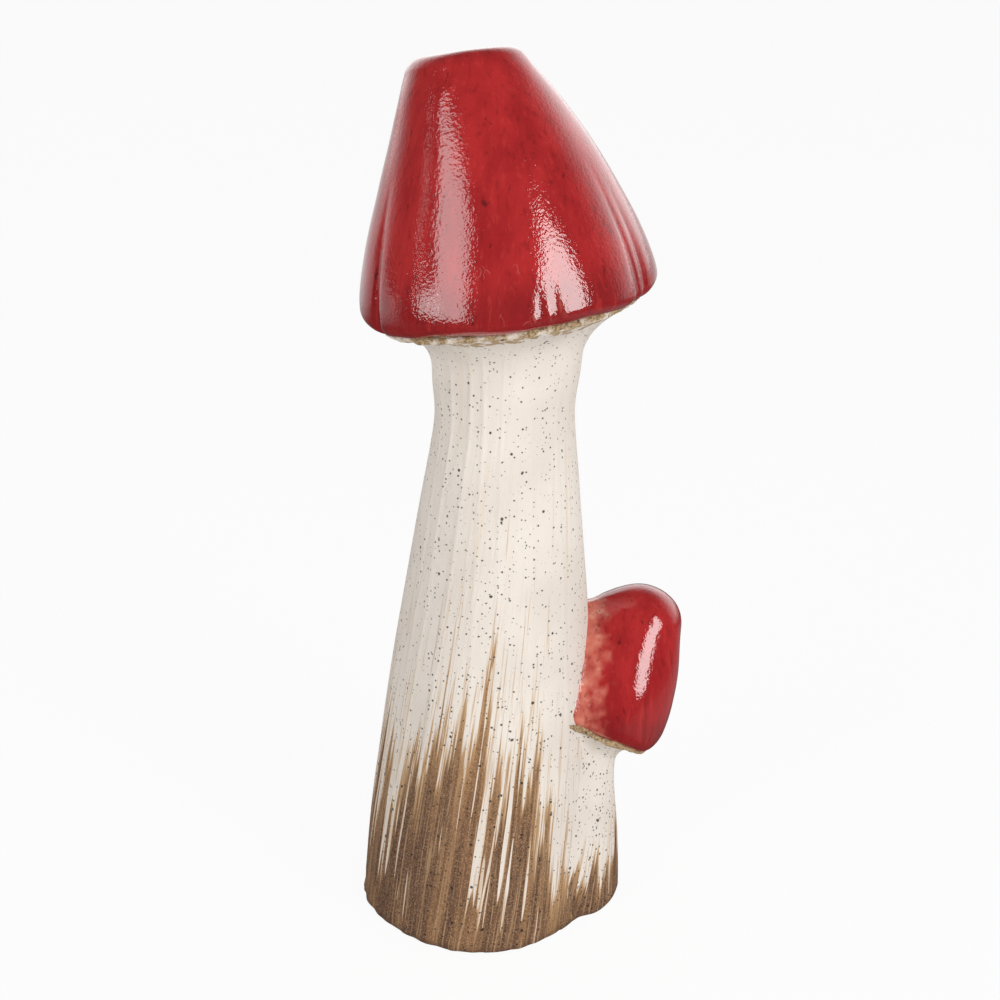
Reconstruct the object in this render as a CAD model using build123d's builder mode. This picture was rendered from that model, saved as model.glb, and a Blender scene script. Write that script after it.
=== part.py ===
from build123d import *

import os
from math import atan, cos, degrees, exp, radians, sin, sqrt

# Ceramic mushroom ornament: a tall leaning mushroom with a small one on its side.
# Millimetres and degrees. X runs to the small mushroom, Y to the back, Z up from the table.
# The origin is the middle of the main foot, on the table.

# Main stem
STEM_HEIGHT = 213.5  # up to the edge of the flare under the cap
STEM_LEAN = 12.0  # the flare stands this far off the middle of the foot
STEM_BEND = 0.79  # below 1 the lean comes mostly low down
STEM_TURN = 8.0  # how late the stem turns to the tilt of the cap
STEM_TAPER = 1.46  # above 1 the foot keeps its width longer
STEM_SPREAD = 22.0  # how late the flare opens
FOOT_RADIUS = 40.8
FOOT_ROUND = 2.0
WAIST_RADIUS = 16.5  # what the taper would come to without the flare
FLARE_RADIUS = 41.0
FLARE_EDGE = 2.0
BODY_SHARE = 0.76  # below this the stem is a plain taper
NECK_SHARE = 0.845  # where the stem is narrowest
STEM_WALL = 6.3

# Floor disc
FLOOR_THICKNESS = 6.0
FLOOR_LEDGE = 3.0  # width of the shoulder that the disc is pressed against
FLOOR_GAP = 0.2
VENT_RADIUS = 5.0
VENT_OFFSET = 16.0

# Main cap
CAP_TILT = 7.0  # its right side is lifted
CAP_PITCH = 0.5  # its front is lifted
CAP_LIP = 1.0  # the mouth reaches this far over the flare
CAP_ROLL = 4.0  # from the mouth to the widest line
CAP_RIM_RADIUS = 46.5
CAP_HEIGHT = 67.7  # from the widest line to the rounding of the top
CAP_BELLY = 1.32  # above 1 the rim keeps its width longer
CAP_TOP_RADIUS = 18.3
CAP_TOP_ROUND = 6.6
CAP_SHIFT = -4.1  # how far the top is pushed sideways
CAP_NOD = 7.0  # degrees that the top leans back against the rim
CAP_BEND = 3.2  # above 1 the push and the nod come mostly high up
CAP_WALL = 6.5
CAP_SHOULDER = 14.0  # up to this far above the widest line the hollow is a plain cylinder
CAP_CROWN = 12.5  # solid clay between the hollow and the rounding of the top
PLEAT_PLACES = (-149.0, -32.0, -20.0, 55.0, 128.0)  # degrees round the rim
PLEAT_WIDTH = 5.0  # degrees to each side
PLEAT_STEP = 5  # degrees between the points of a section
PLEAT_DEPTH = 2.6
PLEAT_MOUTH = 0.9  # depth that is left at the mouth
PLEAT_RISE = 35.0  # height over which a pleat fades out

# Small stem
SIDE_FOOT_X = 32.0
SIDE_FOOT_RADIUS = 19.5
SIDE_WAIST_RADIUS = 3.0
SIDE_FLARE_X = 42.3
SIDE_FLARE_Z = 65.7
SIDE_FLARE_RADIUS = 19.0
SIDE_FLARE_EDGE = 2.0
SIDE_BEND = 2.5
SIDE_TURN = 3.0
SIDE_TAPER = 2.2
SIDE_SPREAD = 10.0
SIDE_BORE_RADIUS = 2.5
SIDE_BORE_INSET = 4.8  # the bore stands this far outside the main foot
SIDE_BORE_DEPTH = 88.0

# Small cap
SIDE_TILT = -21.0  # its right side hangs
SIDE_PITCH = 8.0  # its front is lifted
SIDE_LIP = 0.8
SIDE_ROLL = 5.0
SIDE_RIM_RADIUS = 22.7
SIDE_CAP_HEIGHT = 36.3
SIDE_BELLY = 1.31
SIDE_TOP_RADIUS = 12.9
SIDE_TOP_ROUND = 12.4
SIDE_SHIFT = 1.1

# Rolled rims
ROLL_START = 25.0  # degrees at which the rounding leaves the flat mouth

# Luting clay
SEAM_PROUD = 0.8  # the roll of clay under a cap stands this far beyond its mouth
SEAM_BULGE = 0.7  # how far its face bulges
FILLET_RADIUS = 12.0
FILLET_REACH = 1.1  # share of the height of the small stem


def level(x, z, tilt=0.0, pitch=0.0):
    """Plane over the X axis with its right side lifted by tilt and its front by pitch."""
    lean = radians(tilt)
    back = radians(pitch)
    across = (cos(lean), 0, sin(lean))
    upward = (-sin(lean) * cos(back), sin(back), cos(lean) * cos(back))
    return Plane(origin=(x, 0, z), x_dir=across, z_dir=upward)


def beside(plane, shift):
    """The same plane with its origin moved along its own X."""
    return plane.shift_origin(plane.from_local_coords((shift, 0, 0)))


def leaning(plane, turn):
    """The same plane turned back about its own X, which lifts its front."""
    return plane.rotated((-turn, 0, 0))


def upright(plane):
    """Plane through the axis of another one, for profiles that turn about that axis."""
    return Plane(origin=plane.origin, x_dir=plane.x_dir, z_dir=plane.y_dir * -1)


def trunk(foot, waist, flare, share, taper, spread):
    """Radius of a stem that tapers from its foot and opens into a flare at the top."""
    return foot - (foot - waist) * share**taper + (flare - waist) * share**spread


def round_section(plane, radius):
    """Disc on a plane, for lofts."""
    with BuildSketch(plane) as section:
        Circle(radius)
    return section.sketch


def pleated_section(plane, radius, depth):
    """Disc on a plane with soft notches where the pleats run down."""
    points = []
    for angle in range(0, 360, PLEAT_STEP):
        notch = 0.0
        for place in PLEAT_PLACES:
            turn = (angle - place + 180.0) % 360.0 - 180.0
            notch += exp(-((turn / PLEAT_WIDTH) ** 2))
        reach = radius - depth * notch
        points.append((reach * cos(radians(angle)), reach * sin(radians(angle))))
    with BuildSketch(plane) as section:
        with BuildLine():
            Spline(*points, periodic=True)
        make_face()
    return section.sketch


def seam_ring(plane, inner, outer, drop):
    """Ring of clay below a plane, against an edge of radius inner, with a bulging face."""
    with BuildPart() as ring:
        with BuildSketch(upright(plane)):
            with BuildLine():
                Polyline((inner, -drop), (inner, 0), (outer, 0))
                SagittaArc((outer, 0), (inner, -drop), SEAM_BULGE)
            make_face()
        revolve(axis=Axis(plane.origin, plane.z_dir))
    return ring.part


def roll_steps(mouth, rim, rise):
    """Rise and radius of the rim, rolling out from the mouth to the widest line."""
    start = radians(ROLL_START)
    steps = []
    for share in (0.0, 1 / 3, 2 / 3, 1.0):
        turn = start + (radians(90.0) - start) * share
        out = (sin(turn) - sin(start)) / (1 - sin(start))
        up = (cos(start) - cos(turn)) / cos(start)
        steps.append((rise * up, mouth + (rim - mouth) * out))
    return steps


def bell_steps(rim, top, height, belly):
    """Rise above the widest line and radius of the bell, up to the rounding of its top."""
    steps = []
    for share in (0.0, 0.2, 0.4, 0.6, 0.8, 1.0):
        steps.append((height * share, rim - (rim - top) * share**belly))
    return steps


def crown_steps(rim, top, height, belly, rounding):
    """Rise above the bell and radius of the rounding, from the slope of the bell to flat."""
    slope = degrees(atan((rim - top) * belly / height))
    steps = []
    for share in (0.0, 0.5, 1.0):
        turn = radians(slope + (90.0 - slope) * share)
        rise = rounding * (sin(turn) - sin(radians(slope)))
        inward = rounding * (cos(radians(slope)) - cos(turn))
        steps.append((rise, top - inward))
    return steps


# Planes of the mouths of both caps and of the flares that carry them
flare_plane = level(STEM_LEAN, STEM_HEIGHT, CAP_TILT, CAP_PITCH)
mouth_plane = flare_plane.offset(FLARE_EDGE)
rim_plane = mouth_plane.offset(CAP_ROLL)
side_flare_plane = level(SIDE_FLARE_X, SIDE_FLARE_Z, SIDE_TILT, SIDE_PITCH)
side_mouth_plane = side_flare_plane.offset(SIDE_FLARE_EDGE)
side_rim_plane = side_mouth_plane.offset(SIDE_ROLL)


def stem_level(share):
    """Plane and radius of the main stem at a share of its height."""
    turn = share**STEM_TURN
    plane = level(STEM_LEAN * share**STEM_BEND, STEM_HEIGHT * share, CAP_TILT * turn, CAP_PITCH * turn)
    return plane, trunk(FOOT_RADIUS, WAIST_RADIUS, FLARE_RADIUS, share, STEM_TAPER, STEM_SPREAD)


def side_level(share):
    """Plane and radius of the small stem at a share of its height."""
    x = SIDE_FOOT_X + (SIDE_FLARE_X - SIDE_FOOT_X) * share**SIDE_BEND
    turn = share**SIDE_TURN
    plane = level(x, SIDE_FLARE_Z * share, SIDE_TILT * turn, SIDE_PITCH * turn)
    radius = trunk(
        SIDE_FOOT_RADIUS, SIDE_WAIST_RADIUS, SIDE_FLARE_RADIUS, share, SIDE_TAPER, SIDE_SPREAD
    )
    return plane, radius


def fillet_section(height):
    """Section of the clay in the front valley, hollow and tangent to both stems."""
    main_plane, main_radius = stem_level(height / STEM_HEIGHT)
    side_plane, side_radius = side_level(min(1.0, height / SIDE_FLARE_Z))
    main_x = main_plane.origin.X
    side_x = side_plane.origin.X
    apart = side_x - main_x
    to_main = main_radius + FILLET_RADIUS
    to_side = side_radius + FILLET_RADIUS
    along = (apart**2 + to_main**2 - to_side**2) / (2 * apart)
    out = sqrt(to_main**2 - along**2)
    middle = Vector(main_x + along, -out)
    on_main = Vector(main_x, 0) + (middle - Vector(main_x, 0)) * (main_radius / to_main)
    on_side = Vector(side_x, 0) + (middle - Vector(side_x, 0)) * (side_radius / to_side)
    deepest = middle + ((on_main + on_side) * 0.5 - middle).normalized() * FILLET_RADIUS
    inside = deepest + Vector(-FILLET_RADIUS / 3, FILLET_RADIUS)
    with BuildSketch(Plane.XY.offset(height)) as section:
        with BuildLine():
            ThreePointArc(on_main, deepest, on_side)
            Polyline(on_side, inside, on_main)
        make_face()
    return section.sketch


# Outer form of the main stem, which the other pieces are cut to
with BuildPart() as stem_form:
    body_shares = [BODY_SHARE * step / 3 for step in range(4)]
    loft(sections=[round_section(*stem_level(share)) for share in body_shares])
    flare_shares = [BODY_SHARE + (1 - BODY_SHARE) * step / 6 for step in range(7)]
    loft(sections=[round_section(*stem_level(share)) for share in flare_shares])
    with BuildSketch(flare_plane):
        Circle(FLARE_RADIUS)
    extrude(amount=FLARE_EDGE)
    fillet(stem_form.faces().sort_by(Axis.Z)[0].edges(), radius=FOOT_ROUND)

# Main stem: the form with its hollow and the rebate for the floor disc
rebate_radius = FOOT_RADIUS - STEM_WALL
with BuildPart() as main_stem:
    add(stem_form.part)
    with BuildSketch(Plane.XY):
        Circle(rebate_radius)
    extrude(amount=FLOOR_THICKNESS, mode=Mode.SUBTRACT)
    neck_plane, neck_radius = stem_level(NECK_SHARE)
    hollow_radius = neck_radius - STEM_WALL
    loft(
        sections=[
            round_section(Plane.XY, rebate_radius - FLOOR_LEDGE),
            round_section(neck_plane, hollow_radius),
            round_section(rim_plane, hollow_radius),
        ],
        ruled=True,
        mode=Mode.SUBTRACT,
    )

# Floor disc, flush with the foot
with BuildPart() as floor_disc:
    with BuildSketch(Plane.XY):
        Circle(rebate_radius - FLOOR_GAP)
        with Locations((-VENT_OFFSET, 0)):
            Circle(VENT_RADIUS, mode=Mode.SUBTRACT)
    extrude(amount=FLOOR_THICKNESS)

# Main cap: pleated bell with a rolled rim and a cut-off top, hollowed from the mouth
mouth_radius = FLARE_RADIUS + CAP_LIP
with BuildPart() as main_cap:
    roll_sections = []
    for rise, radius in roll_steps(mouth_radius, CAP_RIM_RADIUS, CAP_ROLL):
        out = (radius - mouth_radius) / (CAP_RIM_RADIUS - mouth_radius)
        depth = PLEAT_MOUTH + (PLEAT_DEPTH - PLEAT_MOUTH) * out
        roll_sections.append(pleated_section(mouth_plane.offset(rise), radius, depth))
    loft(sections=roll_sections)
    bell_sections = []
    for rise, radius in bell_steps(CAP_RIM_RADIUS, CAP_TOP_RADIUS, CAP_HEIGHT, CAP_BELLY):
        share = rise / CAP_HEIGHT
        plane = beside(rim_plane.offset(rise), CAP_SHIFT * share**CAP_BEND)
        plane = leaning(plane, CAP_NOD * share**CAP_BEND)
        fade = max(0.0, 1 - rise / PLEAT_RISE) ** 2
        bell_sections.append(pleated_section(plane, radius, PLEAT_DEPTH * fade))
    loft(sections=bell_sections)
    bell_top = leaning(beside(rim_plane.offset(CAP_HEIGHT), CAP_SHIFT), CAP_NOD)
    crown_sections = []
    for rise, radius in crown_steps(CAP_RIM_RADIUS, CAP_TOP_RADIUS, CAP_HEIGHT, CAP_BELLY, CAP_TOP_ROUND):
        crown_sections.append(pleated_section(bell_top.offset(rise), radius, 0.0))
    loft(sections=crown_sections)
    hollow_height = CAP_HEIGHT - CAP_CROWN
    hollow_share = hollow_height / CAP_HEIGHT
    crown_radius = CAP_RIM_RADIUS - (CAP_RIM_RADIUS - CAP_TOP_RADIUS) * hollow_share**CAP_BELLY
    loft(
        sections=[
            round_section(mouth_plane, mouth_radius - CAP_WALL),
            round_section(rim_plane.offset(CAP_SHOULDER), mouth_radius - CAP_WALL),
            round_section(rim_plane.offset(hollow_height), crown_radius - CAP_WALL),
        ],
        ruled=True,
        mode=Mode.SUBTRACT,
    )

# Roll of clay round the joint of cap and flare
with BuildPart() as main_cap_seam:
    add(seam_ring(mouth_plane, FLARE_RADIUS, mouth_radius + SEAM_PROUD, FLARE_EDGE))

# Outer form of the small stem before it is cut to the main stem
with BuildPart() as side_form:
    side_shares = [step / 8 for step in range(9)]
    loft(sections=[round_section(*side_level(share)) for share in side_shares])
    with BuildSketch(side_flare_plane):
        Circle(SIDE_FLARE_RADIUS)
    extrude(amount=SIDE_FLARE_EDGE)
    fillet(side_form.faces().sort_by(Axis.Z)[0].edges(), radius=FOOT_ROUND)

# Bore that lets the small mushroom dry, from its foot up into its cap
with BuildPart() as side_bore:
    with BuildSketch(Plane.XY):
        with Locations((FOOT_RADIUS + SIDE_BORE_INSET, 0)):
            Circle(SIDE_BORE_RADIUS)
    extrude(amount=SIDE_BORE_DEPTH)

# Small stem, cut to the main stem
with BuildPart() as side_stem:
    add(side_form.part)
    add(stem_form.part, mode=Mode.SUBTRACT)
    add(side_bore.part, mode=Mode.SUBTRACT)

# Small cap, cut to the main stem
side_mouth_radius = SIDE_FLARE_RADIUS + SIDE_LIP
with BuildPart() as side_cap:
    side_roll_sections = []
    for rise, radius in roll_steps(side_mouth_radius, SIDE_RIM_RADIUS, SIDE_ROLL):
        side_roll_sections.append(round_section(side_mouth_plane.offset(rise), radius))
    loft(sections=side_roll_sections)
    side_bell_sections = []
    for rise, radius in bell_steps(SIDE_RIM_RADIUS, SIDE_TOP_RADIUS, SIDE_CAP_HEIGHT, SIDE_BELLY):
        plane = beside(side_rim_plane.offset(rise), SIDE_SHIFT * rise / SIDE_CAP_HEIGHT)
        side_bell_sections.append(round_section(plane, radius))
    loft(sections=side_bell_sections)
    side_bell_top = beside(side_rim_plane.offset(SIDE_CAP_HEIGHT), SIDE_SHIFT)
    side_crown_sections = []
    side_sizes = (SIDE_RIM_RADIUS, SIDE_TOP_RADIUS, SIDE_CAP_HEIGHT, SIDE_BELLY, SIDE_TOP_ROUND)
    for rise, radius in crown_steps(*side_sizes):
        side_crown_sections.append(round_section(side_bell_top.offset(rise), radius))
    loft(sections=side_crown_sections)
    add(stem_form.part, mode=Mode.SUBTRACT)
    add(side_bore.part, mode=Mode.SUBTRACT)

# Roll of clay under the small cap, cut to the main stem
with BuildPart() as side_cap_seam:
    add(seam_ring(side_mouth_plane, SIDE_FLARE_RADIUS, side_mouth_radius + SEAM_PROUD, SIDE_FLARE_EDGE))
    add(stem_form.part, mode=Mode.SUBTRACT)

# Clay smoothed into the front and back valleys between the stems
with BuildPart() as side_stem_seam:
    fillet_heights = [SIDE_FLARE_Z * FILLET_REACH * share for share in (0.0, 0.35, 0.7, 1.0)]
    loft(sections=[fillet_section(height) for height in fillet_heights])
    mirror(about=Plane.XZ)
    split(bisect_by=side_flare_plane, keep=Keep.BOTTOM)
    add(stem_form.part, mode=Mode.SUBTRACT)
    add(side_form.part, mode=Mode.SUBTRACT)
    add(side_cap_seam.part, mode=Mode.SUBTRACT)

# Labels and files
os.makedirs("parts", exist_ok=True)

main_stem.part.label = "main_stem"
export_step(main_stem.part, "parts/main_stem.step")

floor_disc.part.label = "floor_disc"
export_step(floor_disc.part, "parts/floor_disc.step")

main_cap.part.label = "main_cap"
export_step(main_cap.part, "parts/main_cap.step")

main_cap_seam.part.label = "main_cap_seam"
export_step(main_cap_seam.part, "parts/main_cap_seam.step")

side_stem.part.label = "side_stem"
export_step(side_stem.part, "parts/side_stem.step")

side_cap.part.label = "side_cap"
export_step(side_cap.part, "parts/side_cap.step")

side_cap_seam.part.label = "side_cap_seam"
export_step(side_cap_seam.part, "parts/side_cap_seam.step")

side_stem_seam.part.label = "side_stem_seam"
export_step(side_stem_seam.part, "parts/side_stem_seam.step")
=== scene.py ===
from collections import namedtuple
from math import atan, cos, pi, radians, sin, tan

import bmesh
import bpy
import numpy as np
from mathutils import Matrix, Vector, noise


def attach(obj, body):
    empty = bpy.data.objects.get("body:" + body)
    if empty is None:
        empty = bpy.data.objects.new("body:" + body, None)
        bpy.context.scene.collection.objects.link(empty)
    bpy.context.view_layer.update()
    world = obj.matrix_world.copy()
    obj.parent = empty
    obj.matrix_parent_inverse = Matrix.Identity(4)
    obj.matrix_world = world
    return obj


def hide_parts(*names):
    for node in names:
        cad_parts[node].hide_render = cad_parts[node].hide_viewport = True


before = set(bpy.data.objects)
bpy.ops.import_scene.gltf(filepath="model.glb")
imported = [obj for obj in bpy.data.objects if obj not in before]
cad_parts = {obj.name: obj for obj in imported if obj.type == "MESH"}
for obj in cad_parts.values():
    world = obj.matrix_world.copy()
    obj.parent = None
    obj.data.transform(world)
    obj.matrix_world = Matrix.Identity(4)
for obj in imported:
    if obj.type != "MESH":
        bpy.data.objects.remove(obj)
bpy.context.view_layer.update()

# Ceramic mushroom ornament: skins and finishes over the solid pieces.
# Sizes are millimetres and degrees, in the frame of the solids, and MM turns them into metres.
MM = 0.001

Plane = namedtuple("Plane", "origin across back up")
# Lumps: how far they stand out, size, seed of the noise, and a factor on heights that draws them out
Relief = namedtuple("Relief", "depth size seed stretch", defaults=(1.0,))
# Form of a cap, from the plane and radius of its mouth to the shift, nod and drop of its top
Bell = namedtuple("Bell", "plane mouth rim roll height belly top edge shift bend nod drop rows edge_rows")

# Main stem
STEM_HEIGHT = 213.5
STEM_LEAN = 12.0
STEM_BEND = 0.79
STEM_TURN = 8.0
STEM_TAPER = 1.46
STEM_SPREAD = 22.0
FOOT_RADIUS = 40.8
FOOT_ROUND = 1.2
FOOT_LOBES = ((-65.0, 40.0, 1.2), (-128.0, 22.0, -1.8), (-172.0, 30.0, -0.7))  # angle, width and reach
FOOT_LOBE_RISE = 45.0
NECK_SWELL = (190.5, 8.5, 1.5)  # height, width and reach of the swelling under the cap
WAIST_RADIUS = 16.5
FLARE_RADIUS = 41.0
FLARE_EDGE = 2.0
FLARE_INSET = 0.1  # how far the top edge of the skin lies inside that of the flare
NECK_SHARE = 0.845
STEM_WALL = 6.3
FLOOR_THICKNESS = 6.0
FLOOR_LEDGE = 3.0
STEM_RIDGE = Relief(0.3, 12.0, 3.0, 0.035)
STEM_RIDGE_WIDTH = 0.07  # in units of the noise
STEM_FACET = Relief(0.3, 17.0, 8.0, 0.035)
STEM_LUMP = Relief(0.45, 38.0, 5.0)
FOOT_RAG = Relief(0.7, 5.0, 6.0)
FOOT_RAG_RISE = 9.0
STEM_SINK = 0.45  # the relief is shifted inwards by this
STEM_LEAST = 0.02  # and stays at least this far inside the even surface
STEM_FADE = 0.9  # share of the height where it starts to fade out

# Main cap
CAP_TILT = 7.0
CAP_PITCH = 0.5
CAP_LIP = 1.0
CAP_ROLL = 4.0
CAP_RIM_RADIUS = 46.5
CAP_HEIGHT = 67.7
CAP_BELLY = 1.32
CAP_TOP_RADIUS = 18.3
CAP_TOP_ROUND = 6.6
CAP_SHIFT = -4.1
CAP_NOD = 7.0
CAP_BEND = 3.2
CAP_WALL = 6.5
CAP_CROWN = 12.5
CAP_DOME = 0.06
CAP_TOP_DROP = 0.03  # how far the top of the skin lies under that of the solid
CAP_LEFT_SAG = (2.5, 0.5, 0.95)  # drop of the lip, and the cosines between which it sets in
CAP_RIGHT_SAG = (1.2, 0.6, 1.0)
CAP_SAG_RISE = 3.0  # the sag has faded out at this rise above the widest line
CAP_FLUTE = Relief(0.35, 24.0, 4.0, 0.15)
CAP_LUMP = Relief(1.0, 16.0, 9.0)
CAP_LUMP_SHARE = 0.2  # share of the lumps that the bell has below its top
CAP_LUMP_START = 0.75  # share of the height where they start to grow
CAP_LUMP_DROP = 0.4  # how far a hollow lump also lies lower
CAP_WAVE = Relief(0.7, 13.0, 1.0, 0.0)
CAP_WAVE_RISE = 8.0
CAP_SINK = 0.2
CAP_LEAST = 0.03
CAP_LEAST_SHARE = 0.3  # least share of its radius that a ring keeps
PLEATS = (
    (-152.0, 3.6, 3.2, 42.0), (-31.0, 1.8, 2.6, 42.0), (-23.5, 2.4, 2.6, 34.0), (-77.5, 0.6, 1.6, 11.0),
    (-72.0, 0.8, 1.6, 14.0), (55.0, 2.2, 3.5, 36.0), (128.0, 2.4, 3.0, 36.0),
)  # angle, depth at the widest line, width and rise
PLEAT_FADE = 1.5
PLEAT_UNDERCUT = 0.5  # share of its depth that a pleat loses from the widest line down to the mouth
THIN_STREAKS = (-80.0, -75.0, -70.0)  # angles of thin glaze on the lip
THIN_STREAK = (0.7, 2.0, 4.0)  # strength, rise and height of each
CAP_PAINTED_SHADE = (2.0, 16.0)  # rises over which the painted shade (darker glaze low on the cap, where the rim turns under) fades out

# Small stem
SIDE_FOOT_X = 32.0
SIDE_FOOT_RADIUS = 19.5
SIDE_FOOT_LIFT = 0.02  # the skin of the small foot hangs this far above the ground
SIDE_LOBES = ((-85.0, 30.0, 2.3),)
SIDE_LOBE_RISE = 25.0
SIDE_WAIST_RADIUS = 3.0
SIDE_FLARE_X = 42.3
SIDE_FLARE_Z = 65.7
SIDE_FLARE_RADIUS = 19.0
SIDE_FLARE_EDGE = 2.0
SIDE_BEND = 2.5
SIDE_TURN = 3.0
SIDE_TAPER = 2.2
SIDE_SPREAD = 10.0
SIDE_BORE_X = 44.6
SIDE_BORE_RADIUS = 2.5
SIDE_BORE_DEPTH = 60.0
SIDE_STREAK = Relief(0.25, 7.0, 5.0, 0.05)
SIDE_STEM_SINK = 0.2

# Small cap
SIDE_TILT = -21.0
SIDE_PITCH = 8.0
SIDE_LIP = 0.8
SIDE_ROLL = 5.0
SIDE_RIM_RADIUS = 22.7
SIDE_CAP_HEIGHT = 36.3
SIDE_BELLY = 1.31
SIDE_TOP_RADIUS = 12.9
SIDE_TOP_ROUND = 12.4
SIDE_SHIFT = 1.1
SIDE_SAGS = ((-36.0, 26.0, 2.7), (-118.0, 14.0, -1.4))  # angle, width and drop of the lip
SIDE_SAG_RISE = 5.0
SIDE_FRONT = -64.0  # angle of the fuller front
SIDE_FRONT_WIDTH = 45.0
SIDE_BULGE = 1.5
SIDE_FLAT = (21.0, 10.0, 22.0, 0.6)  # rise, height, width and depth of the flat on it
SIDE_LUMP = Relief(0.5, 15.0, 3.0)
SIDE_DIMPLE = Relief(0.06, 6.0, 8.0)
SIDE_CAP_SINK = 0.25
# rises over which the painted shade low on the small cap fades out
SIDE_PAINTED_SHADE = (0.0, 9.0)
THIN_REACH = 12.0  # its glaze runs thin within this distance of the main stem
THIN_START = 0.1  # share of that distance where it is thinnest

# Rims, joints and seams
ROLL_START = 25.0
ROUND_TURNS = (0, 22, 45, 67, 90)
JOINT_SINK = 0.15  # a skin that runs out on the main stem ends this far below its surface
JOINT_DIVE = 0.5  # and dives at this slope beyond its apron
JOINT_DEPTH = 5.5  # to end this far inside the wall
JOINT_START = 2.0
JOINT_REACH = 48.0
JOINT_STEPS = 240
WALL_SPAN = 30.0  # the wall of the main stem is looked for this far to both sides
WALL_STEPS = 601
STEM_BLEND = 12.0  # width over which the small stem melts into the main one
FOOT_BLEND = 4.0  # that width at the foot
FLARE_BLEND = 5.0  # and under the small cap
FLARE_BLEND_RISE = 15.0
STEM_APRON = 8.0
CAP_BLEND = 8.0
CAP_TOP_BLEND = 21.0
CAP_APRON = 1.5
SEAM_RADIUS = 0.8  # half the width of the roll of clay under the main cap
SEAM_TALL = 1.4  # a roll is this much taller than wide
SEAM_DROP = 0.8
SEAM_OUT = 0.1
SEAM_SAG = (1.0, -0.1, 0.9)  # its drop on the left, and the cosines between which it sets in
SEAM_GRIT = Relief(0.4, 2.4, 0.0)  # shares of the radius; each seam adds its own seed
SEAM_KNOBS = Relief(0.55, 6.0, 1.0)
SEAM_SEED = 2.0
SIDE_SEAM_SEED = 7.0
SIDE_SEAM_RADIUS = 0.75
SIDE_SEAM_TAPER = (0.55, 0.2, 0.8)  # share that it loses on the right, and the cosines where it sets in
SIDE_SEAM_END = 0.4  # share that is left where it runs into the main stem
SIDE_SEAM_DROP = 1.2  # times its radius
SEAM_LIFT = 0.3

# Meshes
COLUMNS = 256
STEM_ROWS = 190
RIM_ROWS = 14
BELL_ROWS = 110
CROWN_ROWS = 16
TOP_SHARES = (0.85, 0.7, 0.55, 0.4, 0.25, 0.1)  # radii of the rings on the flat top
SIDE_STEM_ROWS = 90
SIDE_BELL_ROWS = 70
SIDE_CROWN_ROWS = 20
SEAM_ROWS = 20
TURNS = np.linspace(0, 2 * pi, COLUMNS, endpoint=False)


def level(x, z, tilt=0.0, pitch=0.0):
    """Plane over the X axis with its right side lifted by tilt and its front by pitch."""
    lean = radians(tilt)
    back = radians(pitch)
    across = np.array((cos(lean), 0.0, sin(lean)))
    up = np.array((-sin(lean) * cos(back), sin(back), cos(lean) * cos(back)))
    return Plane(np.array((x, 0.0, z)), across, np.cross(up, across), up)


def moved(plane, rise, shift=0.0):
    """The same plane, lifted along its normal and pushed along its own X."""
    return plane._replace(origin=plane.origin + plane.up * rise + plane.across * shift)


def leaning(plane, turn):
    """The same plane turned back about its own X, which lifts its front."""
    angle = radians(turn)
    up = plane.up * cos(angle) + plane.back * sin(angle)
    return plane._replace(back=np.cross(up, plane.across), up=up)


def rays(plane):
    """Unit directions in a plane, one for each column."""
    return np.outer(np.cos(TURNS), plane.across) + np.outer(np.sin(TURNS), plane.back)


def ring(plane, radius):
    """Points round a plane's origin, with one radius or one for each column."""
    return plane.origin + rays(plane) * np.broadcast_to(radius, TURNS.shape)[:, None]


def trunk(foot, waist, flare, share, taper, spread):
    """Radius of a stem that tapers from its foot and opens into a flare at the top."""
    return foot - (foot - waist) * share**taper + (flare - waist) * share**spread


def grain(points, kind, seed=0.0):
    """Smooth noise of a relief, between about -1 and 1."""
    flat = (np.asarray(points, float) * (1, 1, kind.stretch)).reshape(-1, 3) / kind.size
    shift = Vector((1, 2, 3)) * (kind.seed + seed)
    values = [noise.noise(Vector(point) + shift) for point in flat]
    return np.array(values).reshape(np.shape(points)[:-1])


def relief(points, kind, seed=0.0):
    """How far a relief stands out at each point."""
    return kind.depth * grain(points, kind, seed)


def smooth_step(low, high, value):
    """0 below low, 1 above high, smooth between."""
    share = np.clip((value - low) / (high - low), 0, 1)
    return share * share * (3 - 2 * share)


def off_angle(angle):
    """How many degrees each column lies off an angle."""
    return np.abs((np.degrees(TURNS) - angle + 180) % 360 - 180)


def bump(places):
    """Soft swellings round a ring, each with its angle, width and reach."""
    return sum(reach * np.exp(-((off_angle(angle) / width) ** 2)) for angle, width, reach in places)


def lobes(places, height, top):
    """Uneven spread of a foot by column, fading out with the height."""
    return np.multiply.outer(1 - smooth_step(0.0, top, height), bump(places))


def sagging(sag, facing):
    """Amount by column, setting in between two values of how far the columns face a side."""
    amount, start, full = sag
    return amount * smooth_step(start, full, facing)


def placed(name, data):
    holder = bpy.data.objects.new(name, data)
    bpy.context.scene.collection.objects.link(holder)
    return holder


def linked(name, mesh):
    """Object of a closed mesh, with its faces turned out and shaded smooth."""
    work = bmesh.new()
    work.from_mesh(mesh)
    bmesh.ops.recalc_face_normals(work, faces=work.faces)
    work.to_mesh(mesh)
    work.free()
    mesh.shade_smooth()
    return placed(name, mesh)


def bands(index):
    """Quads between following rows of vertex numbers, closed round the columns."""
    after = np.roll(index, -1, axis=1)
    return np.stack([index[:-1], index[1:], after[1:], after[:-1]], axis=-1).reshape(-1, 4).tolist()


def fan(tip, row):
    """Triangles between one vertex number and a row of them."""
    return [[tip, first, second] for first, second in zip(row.tolist(), np.roll(row, -1).tolist())]


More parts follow.
